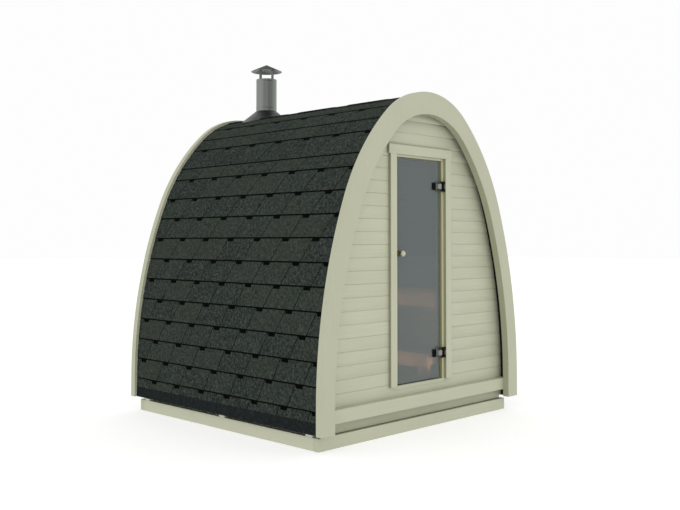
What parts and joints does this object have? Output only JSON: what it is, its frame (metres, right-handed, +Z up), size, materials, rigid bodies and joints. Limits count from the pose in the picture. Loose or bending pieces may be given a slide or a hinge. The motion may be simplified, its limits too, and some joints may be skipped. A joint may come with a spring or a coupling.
{
  "type": "outdoor sauna cabin",
  "caption": "Small outdoor sauna pod with a pointed arch outline, shingled sides, painted board end walls, a tall glass door and a chimney, on a timber ground frame.",
  "frame": {"origin": "on the ground, at the middle of the plan between the outer faces of the arches", "axes": "+Z up; the door is in the wall that faces -Y; +X runs along the front from left to right as seen from outside"},
  "size_m": [2.162, 2.153, 2.835],
  "materials": {
    "base_timber": "painted",
    "black_metal": "satin",
    "chimney_metal": "satin",
    "eave_strip": "satin",
    "frame_timber": "painted",
    "hinge_metal": "satin",
    "inner_timber": "sanded",
    "knob": "polished",
    "pad": "moulded",
    "painted_siding": "satin painted",
    "painted_timber": "satin painted",
    "pane": "smoked",
    "shingles": "mineral grains"
  },
  "bodies": {
    "cabin": {"back_arch": "painted_timber", "back_sill": "painted_timber", "back_wall": "painted_siding", "base_back_beam": "base_timber", "base_front_beam": "base_timber", "base_left_beam": "base_timber", "base_middle_beam": "base_timber", "base_right_beam": "base_timber", "chimney_cap": "chimney_metal", "chimney_flashing": "chimney_metal", "chimney_pipe": "chimney_metal", "door_casing_left": "painted_timber", "door_casing_right": "painted_timber", "door_head": "frame_timber", "door_header_board": "painted_timber", "door_hinge_brackets": "black_metal", "door_jamb_left": "frame_timber", "door_jamb_right": "frame_timber", "door_threshold": "frame_timber", "eave_strips": "eave_strip", "floor_boards": "inner_timber", "floor_joists": "inner_timber", "floor_rims": "frame_timber", "front_arch": "painted_timber", "front_sill": "painted_timber", "front_wall_bottom": "painted_siding", "front_wall_left": "painted_siding", "front_wall_right": "painted_siding", "front_wall_top": "painted_siding", "lower_bench_beams": "inner_timber", "lower_bench_bearers": "inner_timber", "lower_bench_legs": "inner_timber", "lower_bench_seat": "inner_timber", "roof_covering_left": "shingles", "roof_covering_right": "shingles", "roof_crown": "inner_timber", "roof_haunch_left": "inner_timber", "roof_haunch_right": "inner_timber", "side_wall_left": "inner_timber", "side_wall_right": "inner_timber", "support_pads": "pad", "upper_bench_bearers": "inner_timber", "upper_bench_ledger": "inner_timber", "upper_bench_seat": "inner_timber", "upper_bench_skirt": "inner_timber"},
    "door": {"door_glass": "pane", "door_hinge_clamps": "hinge_metal", "door_knob_outside": "knob", "door_knob_inside": "knob"}
  },
  "joints": [
    {"name": "door_hinge", "type": "hinge", "parent": "cabin", "child": "door", "pos_m": [0.246, -0.9855, 1.12], "axis": [0, 0, 1], "range_deg": [0, 100]}
  ]
}
